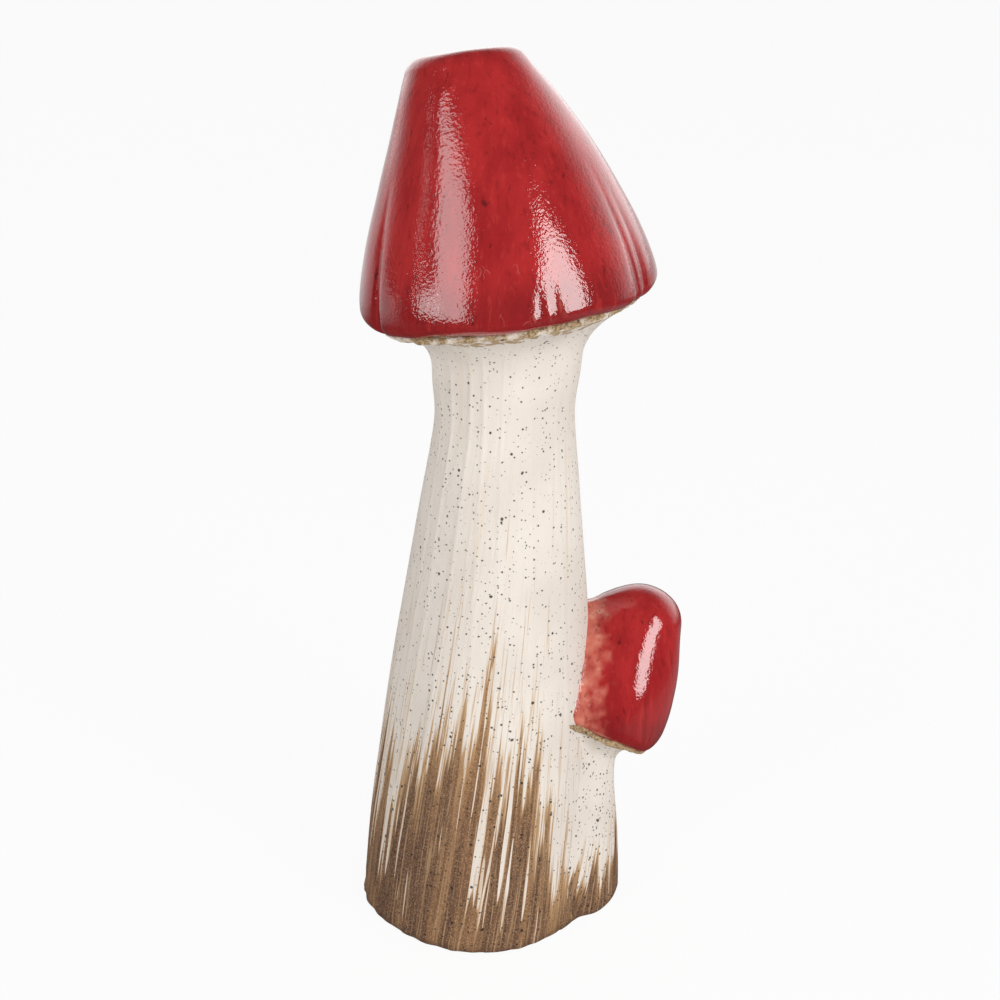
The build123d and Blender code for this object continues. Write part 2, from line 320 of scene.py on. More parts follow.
def skin(name, rows, start, end, values=None):
    """Closed piece through rows of points, with one point at each end, and named values on its points."""
    rows = np.asarray(rows)
    count = rows.shape[0] * rows.shape[1]
    points = np.concatenate([[start], rows.reshape(-1, 3), [end]]) * MM
    index = 1 + np.arange(count).reshape(rows.shape[:2])
    mesh = bpy.data.meshes.new(name)
    faces = bands(index) + fan(0, index[0]) + fan(count + 1, index[-1][::-1])
    mesh.from_pydata(points.tolist(), [], faces)
    for mark, value in (values or {}).items():
        value = np.concatenate([[0.0], np.ravel(value), [0.0]])
        mesh.attributes.new(mark, "FLOAT", "POINT").data.foreach_set("value", value)
    return linked(name, mesh)


def hoop(name, rows):
    """Closed piece through rows of points that come round to the first row again."""
    rows = np.asarray(rows)
    index = np.arange(rows.shape[0] * rows.shape[1]).reshape(rows.shape[:2])
    index = np.concatenate([index, index[:1]])
    mesh = bpy.data.meshes.new(name)
    mesh.from_pydata((rows.reshape(-1, 3) * MM).tolist(), [], bands(index))
    return linked(name, mesh)


# Planes of the mouths of both caps, on the flares that carry them, and the forms of the caps
mouth_plane = moved(level(STEM_LEAN, STEM_HEIGHT, CAP_TILT, CAP_PITCH), FLARE_EDGE)
rim_plane = moved(mouth_plane, CAP_ROLL)
side_mouth = moved(level(SIDE_FLARE_X, SIDE_FLARE_Z, SIDE_TILT, SIDE_PITCH), SIDE_FLARE_EDGE)
main_bell = Bell(
    mouth_plane, FLARE_RADIUS + CAP_LIP, CAP_RIM_RADIUS, CAP_ROLL, CAP_HEIGHT, CAP_BELLY, CAP_TOP_RADIUS,
    CAP_TOP_ROUND, CAP_SHIFT, CAP_BEND, CAP_NOD, CAP_TOP_DROP, BELL_ROWS, CROWN_ROWS,
)
side_bell = Bell(
    side_mouth, SIDE_FLARE_RADIUS + SIDE_LIP, SIDE_RIM_RADIUS, SIDE_ROLL, SIDE_CAP_HEIGHT, SIDE_BELLY,
    SIDE_TOP_RADIUS, SIDE_TOP_ROUND, SIDE_SHIFT, 1.0, 0.0, 0.0, SIDE_BELL_ROWS, SIDE_CROWN_ROWS,
)


def stem_centre(share):
    """Lean of the main stem's axis at a share of its height."""
    return STEM_LEAN * share**STEM_BEND


def stem_plane(share):
    turn = share**STEM_TURN
    return level(stem_centre(share), STEM_HEIGHT * share, CAP_TILT * turn, CAP_PITCH * turn)


def stem_relief():
    """Tool marks, lumps and swellings of the main stem, by row and column."""
    heights = np.linspace(0, STEM_HEIGHT, STEM_ROWS)
    points = np.zeros((STEM_ROWS, COLUMNS, 3))
    points[..., 0] = FOOT_RADIUS * np.cos(TURNS)
    points[..., 1] = FOOT_RADIUS * np.sin(TURNS)
    points[..., 2] = heights[:, None]
    ridge = STEM_RIDGE.depth * np.exp(-((grain(points, STEM_RIDGE) / STEM_RIDGE_WIDTH) ** 2))
    rag = relief(points, FOOT_RAG) * (1 - smooth_step(0.0, FOOT_RAG_RISE, heights))[:, None]
    cuts = ridge + relief(points, STEM_FACET) + relief(points, STEM_LUMP) + rag - STEM_SINK
    fade = 1 - smooth_step(STEM_FADE * STEM_HEIGHT, STEM_HEIGHT, heights)
    height, width, reach = NECK_SWELL
    swell = reach * np.exp(-(((heights - height) / width) ** 2))
    spread = lobes(FOOT_LOBES, heights, FOOT_LOBE_RISE)
    return np.minimum(cuts, -STEM_LEAST) * fade[:, None] + swell[:, None] + spread


stem_shares = np.linspace(0, 1, STEM_ROWS)
stem_radii = trunk(FOOT_RADIUS, WAIST_RADIUS, FLARE_RADIUS, stem_shares, STEM_TAPER, STEM_SPREAD)
stem_table = stem_radii[:, None] + stem_relief()


def above_stem(points):
    """How far points stand outside the skin of the main stem, negative inside."""
    share = np.clip(points[..., 2] / STEM_HEIGHT, 0, 1)
    x = points[..., 0] - stem_centre(share)
    y = points[..., 1]
    row = share * (STEM_ROWS - 1)
    column = (np.arctan2(y, x) / (2 * pi) % 1) * COLUMNS
    low = np.minimum(row.astype(int), STEM_ROWS - 2)
    left = column.astype(int) % COLUMNS
    right = (left + 1) % COLUMNS
    up = row - low
    over = column - column.astype(int)
    below = stem_table[low, left] * (1 - over) + stem_table[low, right] * over
    above = stem_table[low + 1, left] * (1 - over) + stem_table[low + 1, right] * over
    return np.hypot(x, y) - (below * (1 - up) + above * up)


def first_reach(steps, values):
    """Where the values of each column first rise above zero, or the last step."""
    passed = values > 0
    after = np.where(passed.any(axis=1), passed.argmax(axis=1), len(steps) - 1)
    before = np.maximum(after - 1, 0)
    columns = np.arange(len(values))
    low = values[columns, before]
    high = values[columns, after]
    share = np.clip(-low / np.where(high > low, high - low, 1.0), 0, 1)
    return steps[before] + (steps[after] - steps[before]) * share


def joined_ring(plane, radius, blend, apron, start=0.0):
    """Ring of a piece that melts into the main stem, or ends inside its wall."""
    steps = np.linspace(0, JOINT_REACH, JOINT_STEPS)
    origin = plane.origin + plane.across * start
    directions = rays(plane)
    points = origin + directions[:, None, :] * steps[None, :, None]
    own = np.linalg.norm(points - plane.origin, axis=-1) - np.broadcast_to(radius, TURNS.shape)[:, None]
    over = above_stem(points)
    main = over + JOINT_SINK + JOINT_DIVE * np.maximum(own - apron, 0)
    near = np.clip(1 - np.abs(own - main) / blend, 0, None)
    field = np.minimum(own, main) - near**2 * blend / 4
    reach = first_reach(steps, field)
    depth = first_reach(steps, -JOINT_DEPTH - over)
    return origin + directions * np.minimum(reach, depth)[:, None]


def wall_start(plane):
    """How far along a plane's X, from its origin, the wall of the main stem is entered."""
    steps = np.linspace(-WALL_SPAN, WALL_SPAN, WALL_STEPS)
    depth = above_stem(plane.origin + np.outer(steps, plane.across))
    return steps[np.argmin(np.abs(depth + JOINT_START))]


def rounding(radius, turns):
    """Inward and downward steps of a rounded edge."""
    return [(radius * (1 - cos(turn)), radius * sin(turn)) for turn in np.radians(turns)]


def bell_rings(bell):
    """Plane, radius and rise above the widest line of each ring of a cap: rim, bell and rounded top."""
    start = radians(ROLL_START)
    for turn in np.linspace(start, radians(90.0), RIM_ROWS):
        out = (sin(turn) - sin(start)) / (1 - sin(start))
        rise = bell.roll * (cos(start) - cos(turn)) / cos(start)
        yield moved(bell.plane, rise), bell.mouth + (bell.rim - bell.mouth) * out, rise - bell.roll
    widest = moved(bell.plane, bell.roll)
    for share in np.linspace(0, 1, bell.rows)[1:]:
        push = share**bell.bend
        rise = bell.height * share
        plane = leaning(moved(widest, rise, bell.shift * push), bell.nod * push)
        yield plane, bell.rim - (bell.rim - bell.top) * share**bell.belly, rise
    top = leaning(moved(widest, bell.height - bell.drop, bell.shift), bell.nod)
    slope = atan((bell.rim - bell.top) * bell.belly / bell.height)
    for turn in np.linspace(slope, radians(90.0), bell.edge_rows)[1:]:
        rise = bell.edge * (sin(turn) - sin(slope))
        yield moved(top, rise), bell.top - bell.edge * (cos(slope) - cos(turn)), bell.height


def build_main_stem():
    """Tall stem: outer skin, foot, rebate for the floor disc and hollow."""
    rows = [ring(mouth_plane, FLARE_RADIUS - FLARE_INSET)]
    lowest = int(np.ceil(FOOT_ROUND / STEM_HEIGHT * (STEM_ROWS - 1)))
    for row in range(STEM_ROWS - 1, lowest, -1):
        rows.append(ring(stem_plane(stem_shares[row]), stem_table[row]))
    for inward, down in rounding(FOOT_ROUND, ROUND_TURNS):
        height = FOOT_ROUND - down
        rows.append(ring(level(stem_centre(height / STEM_HEIGHT), height), stem_table[0] - inward))
    rebate = FOOT_RADIUS - STEM_WALL
    rows.append(ring(level(0, 0), rebate))
    rows.append(ring(level(0, FLOOR_THICKNESS), rebate))
    rows.append(ring(level(0, FLOOR_THICKNESS), rebate - FLOOR_LEDGE))
    neck = stem_plane(NECK_SHARE)
    outside = trunk(FOOT_RADIUS, WAIST_RADIUS, FLARE_RADIUS, NECK_SHARE, STEM_TAPER, STEM_SPREAD)
    rows.append(ring(neck, outside - STEM_WALL))
    return skin("stem_skin", rows, mouth_plane.origin, neck.origin)


def pleat_notch(rise):
    """Depth of the pleats at a rise above the widest line."""
    notch = np.zeros(COLUMNS)
    for angle, depth, width, top in PLEATS:
        fade = max(0.0, 1 - max(rise, 0.0) / top) ** PLEAT_FADE
        notch += depth * fade * np.exp(-off_angle(angle) / width)
    return notch * (1 + PLEAT_UNDERCUT * min(rise, 0.0) / CAP_ROLL)


def cap_row(plane, radius, rise):
    """One ring of the cap, pleated and a little lumpy, with a wavy lip that sags at both sides."""
    even = ring(plane, radius)
    grown = smooth_step(CAP_LUMP_START * CAP_HEIGHT, CAP_HEIGHT, rise)
    lump = relief(even, CAP_LUMP) * (CAP_LUMP_SHARE + (1 - CAP_LUMP_SHARE) * grown)
    wave = relief(even, CAP_WAVE) * (1 - smooth_step(-CAP_ROLL, CAP_WAVE_RISE, rise))
    sag = sagging(CAP_LEFT_SAG, -np.cos(TURNS)) + sagging(CAP_RIGHT_SAG, np.cos(TURNS))
    sag *= 1 - smooth_step(-CAP_ROLL, CAP_SAG_RISE, rise)
    inset = np.minimum(relief(even, CAP_FLUTE) + lump - CAP_SINK, -CAP_LEAST) - pleat_notch(rise)
    points = ring(plane, np.maximum(radius + inset, CAP_LEAST_SHARE * radius))
    return points + np.outer(wave - sag + np.minimum(lump, 0) * CAP_LUMP_DROP, plane.up)


def marks(thin, limits, rises):
    """Values of the glaze by row and column: where it is thin, and where painted shade darkens it low on a
    cap.
    """
    return {"thin": thin, "painted_shade": np.broadcast_to(1 - smooth_step(*limits, rises)[:, None], thin.shape)}


def build_main_cap():
    """Pleated bell with a rolled rim and a cut-off top, hollow inside."""
    rings = list(bell_rings(main_bell))
    top, radius, rise = rings[-1]
    for share in TOP_SHARES:
        rings.append((moved(top, CAP_DOME * (1 - share**2)), radius * share, rise))
    inside = main_bell.mouth - CAP_WALL
    hollow = moved(rim_plane, CAP_HEIGHT - CAP_CROWN)
    inner = [ring(hollow, CAP_TOP_RADIUS - CAP_WALL), ring(rim_plane, inside), ring(mouth_plane, inside)]
    rows = inner + [cap_row(*values) for values in rings]
    rises = np.array([0.0] * len(inner) + [rise for plane, radius, rise in rings])
    strength, middle, height = THIN_STREAK
    fade = strength * np.exp(-(((rises - middle) / height) ** 2))
    thin = sum(np.outer(fade, np.exp(-(off_angle(angle) ** 2))) for angle in THIN_STREAKS)
    return skin("cap_skin", rows, hollow.origin, moved(top, CAP_DOME).origin, marks(thin, CAP_PAINTED_SHADE, rises))


def side_plane(share):
    x = SIDE_FOOT_X + (SIDE_FLARE_X - SIDE_FOOT_X) * share**SIDE_BEND
    turn = share**SIDE_TURN
    return level(x, SIDE_FLARE_Z * share, SIDE_TILT * turn, SIDE_PITCH * turn)


def side_stem_row(plane, radius):
    """One ring of the small stem, melting into the main one."""
    streak = relief(ring(plane, radius), SIDE_STREAK) - SIDE_STEM_SINK
    height = plane.origin[2]
    lobe = lobes(SIDE_LOBES, height, SIDE_LOBE_RISE)
    blend = FOOT_BLEND + (STEM_BLEND - FOOT_BLEND) * smooth_step(0.0, SIDE_LOBE_RISE, height)
    near_flare = smooth_step(SIDE_FLARE_Z - FLARE_BLEND_RISE, SIDE_FLARE_Z, height)
    blend -= (STEM_BLEND - FLARE_BLEND) * near_flare
    return joined_ring(plane, radius + streak + lobe, blend, STEM_APRON, wall_start(plane))


def build_side_stem():
    """Short stem with its drying bore."""
    side_radii = (SIDE_FOOT_RADIUS, SIDE_WAIST_RADIUS, SIDE_FLARE_RADIUS)
    rows = [side_stem_row(side_mouth, SIDE_FLARE_RADIUS)]
    for share in np.linspace(1, FOOT_ROUND / SIDE_FLARE_Z, SIDE_STEM_ROWS):
        radius = trunk(*side_radii, share, SIDE_TAPER, SIDE_SPREAD)
        rows.append(side_stem_row(side_plane(share), radius))
    for inward, down in rounding(FOOT_ROUND, ROUND_TURNS[1:]):
        plane = level(SIDE_FOOT_X, FOOT_ROUND - down + SIDE_FOOT_LIFT)
        rows.append(side_stem_row(plane, SIDE_FOOT_RADIUS - inward))
    bore = level(SIDE_BORE_X, rows[-1][0][2])
    bore_end = moved(bore, SIDE_BORE_DEPTH)
    rows.append(ring(bore, SIDE_BORE_RADIUS))
    rows.append(ring(bore_end, SIDE_BORE_RADIUS))
    return skin("side_stem_skin", rows, side_mouth.origin, bore_end.origin)


def side_front(rise):
    """Bulge of the small cap's front at a rise above its widest line, less a flat on it."""
    share = np.clip(rise / SIDE_CAP_HEIGHT, 0, 1)
    off = off_angle(SIDE_FRONT)
    bulge = SIDE_BULGE * (4 * share * (1 - share)) ** 2 * np.exp(-((off / SIDE_FRONT_WIDTH) ** 2))
    middle, height, width, depth = SIDE_FLAT
    return bulge - depth * np.exp(-(((rise - middle) / height) ** 2) - (off / width) ** 2)


def side_cap_row(plane, radius, rise):
    """One ring of the small cap, melting into the main stem, most of all at its top."""
    even = ring(plane, radius)
    lump = relief(even, SIDE_LUMP) + relief(even, SIDE_DIMPLE)
    share = np.clip(rise / SIDE_CAP_HEIGHT, 0, 1)
    blend = CAP_BLEND + (CAP_TOP_BLEND - CAP_BLEND) * share**2
    sag = bump(SIDE_SAGS) * (1 - smooth_step(-SIDE_ROLL, SIDE_SAG_RISE, rise))
    uneven = radius + lump + side_front(rise) - SIDE_CAP_SINK
    return joined_ring(plane, uneven, blend, CAP_APRON) - np.outer(sag, plane.up)


def build_side_cap():
    """Small leaning bell, pressed against the main stem, where its glaze is thin."""
    planes, radii, rises = zip(*bell_rings(side_bell))
    thin = 1 - smooth_step(THIN_START * THIN_REACH, THIN_REACH, above_stem(side_rows))
    values = marks(thin, SIDE_PAINTED_SHADE, np.array(rises))
    return skin("side_cap_skin", side_rows, side_mouth.origin, planes[-1].origin, values)


side_rows = np.array([side_cap_row(*values) for values in bell_rings(side_bell)])


def laid_out(path):
    """Points of a path that run just under the skin of the main stem, lifted onto it."""
    axis = np.stack([stem_centre(path[:, 2] / STEM_HEIGHT), 0 * path[:, 1], path[:, 2]], axis=-1)
    out = path - axis
    out /= np.linalg.norm(out, axis=-1)[:, None]
    over = above_stem(path)
    return path + out * np.where(over > -JOINT_DEPTH / 2, np.maximum(SEAM_LIFT - over, 0), 0)[:, None]


def build_seam(name, plane, path, radius, seed):
    """Rough roll of clay along a ring of points under the mouth of a cap."""
    outward = rays(plane)
    rows = []
    for turn in np.linspace(0, 2 * pi, SEAM_ROWS, endpoint=False):
        even = path + outward * cos(turn) + plane.up * sin(turn)
        width = radius * (1 + relief(even, SEAM_GRIT, seed) + relief(even, SEAM_KNOBS, seed))
        tall = SEAM_TALL * width * sin(turn)
        rows.append(path + outward * (width * cos(turn))[:, None] + np.outer(tall, plane.up))
    return hoop(name, rows)


def build_main_seam():
    """Roll of clay under the main cap, hanging lower on the left."""
    sag = sagging(SEAM_SAG, -np.cos(TURNS))
    path = ring(moved(mouth_plane, -SEAM_DROP), FLARE_RADIUS + SEAM_OUT) - np.outer(sag, mouth_plane.up)
    return build_seam("cap_seam_skin", mouth_plane, path, SEAM_RADIUS, SEAM_SEED)


def build_side_seam():
    """Roll of clay under the small cap, thinner on the right and on the main stem."""
    radius = SIDE_SEAM_RADIUS * (1 - sagging(SIDE_SEAM_TAPER, np.cos(TURNS)))
    lip = side_rows[0]
    outside = smooth_step(-JOINT_DEPTH / 2, 0.0, above_stem(lip))
    radius *= SIDE_SEAM_END + (1 - SIDE_SEAM_END) * outside
    path = laid_out(lip - np.outer(SIDE_SEAM_DROP * radius, side_mouth.up))
    return build_seam("side_seam_skin", side_mouth, path, radius, SIDE_SEAM_SEED)


# Finishes. Limits are the two values between which something sets in. Colours are display colours from 0
# to 255, a tint is a colour and its strength, and a mark has limits before that. A noise has its stretch
# along X, Y and Z, its size and its detail.
WHITE = (1.0, 1.0, 1.0, 1.0)
EVEN = (1.0, 1.0, 1.0)
NOISE_MIDDLE = 0.5

# Slip: noises that run in streaks up a stem, with a shift in the place of the stretch, and noises in patches
STREAK_NOISES = {
    "broad": ((0.0, 0.0, 0.0), 7.0, 2.0),
    "fine": ((0.0, 0.0, 0.0), 2.3, 3.0),
    "hair": ((0.0, 0.0, 0.0), 0.8, 2.0),
    "slit": ((31.0, 17.0, 5.0), 2.8, 2.0),
    "scratch": ((7.0, 43.0, 11.0), 1.3, 1.0),
    "tone": ((53.0, 3.0, 29.0), 4.0, 1.0),
}
PATCH_NOISES = {
    "grit": (EVEN, 0.5, 2.0),
    "cloud": (EVEN, 26.0, 2.0),
    "stain": ((1.0, 1.0, 0.3), 8.0, 2.0),
    "smear": (EVEN, 3.4, 3.0),
}
SLIP_WHITES = ((0.35, 0.65), (222, 212, 202), (230, 221, 211))
SLIP_STREAK = ((0.55, 0.75), (222, 209, 194), 1.0)
NECK_SMEAR = ((0.45, 0.53), (178, 150, 112), 1.0)  # clay smeared over the slip under the main cap
NECK_SMEAR_RISE = (-10.0, -3.5)
SLIP_ROUGHNESS = 0.66
WASH_ROUGHER = 0.12
TOOL_LINE = (0.02, 0.0, 0.5)  # limits and height
TOOL_STREAK = 0.2
SLIP_BUMP = (0.3, 0.0004)  # strength, and height in metres

# Iron specks: size of the cells that hold a dot each, and its least and largest radius; below zero there is
# none. Pepper is added to the radii, but not to the largest.
FINE_DOTS = (1.25, -0.12, 0.36)
COARSE_DOTS = (3.3, -0.4, 0.57)
SPECK_TINT = ((40, 30, 22), 0.92)
SPECK_EDGE = 0.08
SPECK_STIR = ((0.5, 0.5, 0.5), 2.2, 1.0)  # reach, scale and detail
SIDE_PEPPER = 0.07

# Brown wash: turn of its strokes round a stem in radians for each millimetre, squeeze of the heights that
# draws its bristle marks out, and angle at the foot and height of the tip of each stroke
BRUSH_TWIST = 0.0022
BRUSH_STRETCH = 0.03
STROKES = (
    (-172, 84), (-153, 78), (-139, 82), (-125, 103), (-114, 92), (-101, 122), (-94, 84), (-80, 90), (-72, 86),
    (-60, 58), (-46, 34), (-28, 32), (-8, 46), (45, 62), (100, 92), (145, 80),
)
SIDE_STROKES = (
    (-165, 22), (-140, 24), (-115, 30), (-92, 22), (-75, 28), (-52, 21), (-30, 34), (-10, 40), (8, 54),
    (35, 34), (65, 26), (100, 28), (140, 24),
)
STROKE_SCALE = 150.0  # height that the ramp of the tips calls 1
STROKE_GAP = 0.84  # height between two tips, as a share of the lower one
STROKE_FRAY = {"broad": 40.0, "fine": 70.0, "hair": 80.0}  # how far each noise frays the tips
STROKE_EDGE = (-8.0, 24.0)  # depths below its tip over which a stroke sets in
SIDE_RAGGED = 0.35  # factor on these on the small stem
# Share of the bristle noise that the wash covers, by angle share, and more over some depths and heights
WASH_COVER = (
    (0.0, 0.54), (0.1, 0.54), (0.13, 0.7), (0.2, 0.7), (0.23, 0.51), (0.38, 0.5), (0.5, 0.56), (0.7, 0.6),
    (1.0, 0.56),
)
DEEP_COVER = (0.0, 80.0, 0.06)
FOOT_COVER = (26.0, 3.0, 0.12)
SLIT_FRAY = 0.2
SLIT_EDGE = (-0.026, 0.024)
SCRATCH_EDGE = (0.715, 0.775)
DRY_HAIR = (0.48, 0.7, -0.3)
DRY_GRIT = 0.5
# Thin wash beyond the strokes: noise, its limits, depths below the tip and strength
WASH_BEYOND = (("hair", (0.53, 0.66), (-60.0, 0.0), 0.3), ("fine", (0.44, 0.6), (-8.0, 40.0), 0.26))
BUFF_WASH = (0.0, 0.5)  # strengths over which the white turns buff, and then brown
BROWN_WASH = (0.3, 0.95)
BUFFS = ((0.35, 0.65), (186, 148, 106), (200, 166, 126))
BROWNS = ((0.36, 0.64), (96, 65, 46), (140, 101, 67))
TIP_BROWN = ((166, 124, 79), 1.0)
TIP_REACH = 45.0
BROWN_MARKS = (
    ("slit", (0.5, 0.36), (98, 67, 44), 1.0),
    ("fine", (0.5, 0.68), (172, 134, 94), 0.45),
    ("stain", (0.48, 0.68), (90, 60, 44), 0.55),
    ("hair", (0.5, 0.68), (186, 148, 108), 0.4),
    ("grit", (0.5, 0.68), (188, 150, 112), 0.5),
    ("grit", (0.5, 0.32), (72, 48, 34), 0.5),
)
FOOT_BROWN = ((3.5, 0.5), (80, 55, 40), 0.5)

# Glaze
GLAZE_CLOUD = ((1.0, 1.0, 0.25), 8.0, 3.0)
GLAZE_REDS = ((0.3, 0.7), (153, 28, 31), (175, 39, 40))
# painted shade: darker red laid over the glaze low on the caps, where the rim turns under
PAINTED_SHADE_TINT = ((116, 22, 24), 0.55)
THIN_PATCH = (EVEN, 4.5, 1.5)
THIN_SWAY = 1.8
THIN_LIMITS = (0.2, 1.5)
THIN_EDGE = (0.02, 0.35)
THIN_TINT = ((222, 130, 110), 1.0)
WORN_PATCH = (EVEN, 3.6, 2.0)
WORN_LIMITS = (0.52, 0.8)
WORN_TINT = ((226, 170, 148), 0.55)
SMUDGE = ((1.0, 1.0, 0.35), 1.9, 3.0)
RUN = ((1.0, 1.0, 0.07), 1.5, 2.0)
GLAZE_MARKS = (
    (SMUDGE, (0.64, 0.76), (62, 14, 16), 0.65),
    (RUN, (0.56, 0.72), (112, 20, 23), 0.4),
    (RUN, (0.42, 0.3), (192, 56, 52), 0.3),
)
CRAZE_RISE = 8.0  # fine cracks at the front, this far above the widest line
CRAZE_REACH = (16.0, 8.0)
CRAZE_STRETCH = (1.0, 1.0, 0.35)
CRAZE_SCALE = 0.16
CRAZE_STIR = ((2.0, 2.0, 2.0), 0.25, 2.0)
CRAZE_LINE = (0.02, 0.006)
CRAZE_PATCH = (0.46, 0.6)
CRAZE_TINT = ((208, 120, 112), 0.26)
FINE_PEEL = (EVEN, 0.5, 1.0)
COARSE_PEEL = (EVEN, 1.15, 1.0)
FINE_PEEL_SHARE = 0.4
GLAZE_BUMP = (0.27, 0.0003)
GLAZE_ROUGHNESS = 0.045
GLAZE_IOR = 1.65

# Luting clay
KHAKIS = ((0.35, 0.65), (134, 106, 74), (188, 162, 124))
LUTING_WHITE = ((216, 203, 188), 1.0)
LUTING_SMEAR = (EVEN, 4.4, 5.0)
LUTING_GRIT = (EVEN, 0.7, 3.0)
LUTING_EDGE = (-0.09, 0.05)
LUTING_DOTS = (2.0, -0.1, 0.46)
LUTING_SPECK = ((66, 54, 44), 0.85)
LUTING_BUMP = (0.7, 0.0008)
LUTING_ROUGHNESS = 0.8
SMEARED = 0.53  # share of the noise that is bare clay under the main cap, and under the small one
BARE = 0.76


def colour(red, green, blue):
    """Linear colour of a display colour from 0 to 255."""
    parts = []
    for part in (red, green, blue):
        share = part / 255
        parts.append(share / 12.92 if share <= 0.04045 else ((share + 0.055) / 1.055) ** 2.4)
    return (*parts, 1.0)


class Shader:
    """Nodes of a material or a world: each method adds nodes and gives the output of the last."""

    def __init__(self, owner):
        self.owner = owner
        owner.use_nodes = True
        self.tree = owner.node_tree
        self.tree.nodes.clear()

    def add(self, kind, inputs=None, output=0, **settings):
        """Node of a kind; its inputs are outputs of other nodes or constants."""
        node = self.tree.nodes.new("ShaderNode" + kind)
        for key, value in settings.items():
            setattr(node, key, value)
        for key, value in (inputs or {}).items():
            if isinstance(value, bpy.types.NodeSocket):
                self.tree.links.new(value, node.inputs[key])
            else:
                node.inputs[key].default_value = value
        return node.outputs[output] if node.outputs else None

    def math(self, operation, *values):
        return self.add("Math", dict(enumerate(values)), operation=operation)

    def times(self, first, second):
        return self.math("MULTIPLY", first, second)

    def line(self, value, slope, start):
        """Start plus slope times a value."""
        return self.math("MULTIPLY_ADD", value, slope, start)

    def vector(self, operation, *values, output=0):
        return self.add("VectorMath", dict(enumerate(values)), output, operation=operation)

    def stirred(self, place, spot, amount, scale, detail):
        """Place pushed about by a noise at a spot."""
        stir = self.add("TexNoise", {"Vector": spot, "Scale": scale, "Detail": detail}, output=1)
        return self.vector("MULTIPLY_ADD", stir, amount, place)

    def between(self, value, low, high):
        """0 below low, 1 above high, smooth between; the other way round if low is above high."""
        inputs = {"Value": value, "From Min": low, "From Max": high}
        return self.add("MapRange", inputs, interpolation_type="SMOOTHSTEP")

    def gain(self, start, value, low, high, size):
        """Start, and up to size more where a value goes from low to high."""
        return self.line(self.between(value, low, high), size, start)

    def swing(self, marks):
        """Noise about zero."""
        return self.math("SUBTRACT", marks, NOISE_MIDDLE)

    def mix(self, share, first, second):
        return self.add("Mix", {0: share, 6: first, 7: second}, output=2, data_type="RGBA")

    def shades(self, value, limits, first, second):
        """Colour that goes from one to another with a value."""
        return self.mix(self.between(value, *limits), colour(*first), colour(*second))

    def tint(self, body, share, shade, strength):
        """Body with a colour laid over it, as strong as share times strength."""
        return self.mix(self.times(share, strength), body, colour(*shade))

    def mark(self, body, value, limits, shade, strength):
        """Body with a colour laid over it where a value passes its limits."""
        return self.tint(body, self.between(value, *limits), shade, strength)

    def noise(self, vector, stretch, size, detail):
        place = self.vector("MULTIPLY", vector, stretch)
        return self.add("TexNoise", {"Vector": place, "Scale": 1 / size, "Detail": detail})

    def ramp(self, value, stops):
        """Height of the line through stops, each with its place and height from 0 to 1."""
        output = self.add("ValToRGB", {"Fac": value})
        elements = output.node.color_ramp.elements
        for place, height in stops[1:-1]:
            elements.new(place)
        for element, (place, height) in zip(elements, stops):
            element.position = place
            element.color = (height, height, height, 1)
        return output

    def bumped(self, height, strength, distance):
        """Normal of a surface with fine relief."""
        return self.add("Bump", {"Height": height, "Strength": strength, "Distance": distance})

    def finish(self, body, roughness, normal, **others):
        inputs = {"Base Color": body, "Roughness": roughness, "Normal": normal, **others}
        self.add("OutputMaterial", {"Surface": self.add("BsdfPrincipled", inputs)})
        return self.owner


def millimetres(shader):
    """Place on the object in millimetres."""
    return shader.vector("MULTIPLY", shader.add("TexCoord", output=3), (1 / MM,) * 3)


def brush_coordinates(shader, spot, foot, lean, girth):
    """Height, angle share and a vector that runs in long streaks up a stem, as a brush does."""
    parts = shader.add("SeparateXYZ", {0: spot}).node
    height = parts.outputs[2]
    off = shader.math("SUBTRACT", shader.line(height, -lean, parts.outputs[0]), foot)
    flat = shader.add("CombineXYZ", {0: off, 1: parts.outputs[1]})
    twist = shader.times(height, -BRUSH_TWIST)
    turned = shader.add("VectorRotate", {"Vector": flat, "Angle": twist}, rotation_type="Z_AXIS")
    out = shader.vector("MULTIPLY", shader.vector("NORMALIZE", turned), (girth,) * 3)
    rise = shader.add("CombineXYZ", {2: shader.times(height, BRUSH_STRETCH)})
    sides = shader.add("SeparateXYZ", {0: turned}).node
    angle = shader.math("ARCTAN2", sides.outputs[1], sides.outputs[0])
    return height, shader.line(angle, 1 / (2 * pi), 0.5), shader.vector("ADD", out, rise)


def specks(shader, spot, cell, smallest, largest):
    """Dots of mixed sizes, 1 on a dot and 0 beside it."""
    place = shader.stirred(spot, spot, *SPECK_STIR)
    cells = shader.add("TexVoronoi", {"Vector": place, "Scale": 1 / cell}).node
    distance = shader.times(cells.outputs["Distance"], cell)
    pick = shader.add("SeparateColor", {0: cells.outputs["Color"]}).node
    size = shader.line(pick.outputs[0], largest - smallest, smallest)
    return shader.between(shader.math("SUBTRACT", distance, size), SPECK_EDGE, -SPECK_EDGE)


def stroke_stops(strokes):
    """Stops of the height of the wash by angle share: each tip, with a dip between it and the next."""
    stops = [(0.0, strokes[0][1] * STROKE_GAP / STROKE_SCALE)]
    for place, (angle, height) in enumerate(strokes):
        if place:
            before, lower = strokes[place - 1]
            dip = STROKE_GAP * min(lower, height)
            stops.append((((before + angle) / 2 + 180) / 360, dip / STROKE_SCALE))
        stops.append(((angle + 180) / 360, height / STROKE_SCALE))
    return stops


def slip_noises(shader, spot, streak):
    noises = {}
    for name, (shift, size, detail) in STREAK_NOISES.items():
        noises[name] = shader.noise(shader.vector("ADD", streak, shift), EVEN, size, detail)
    for name, patch in PATCH_NOISES.items():
        noises[name] = shader.noise(spot, *patch)
    return noises


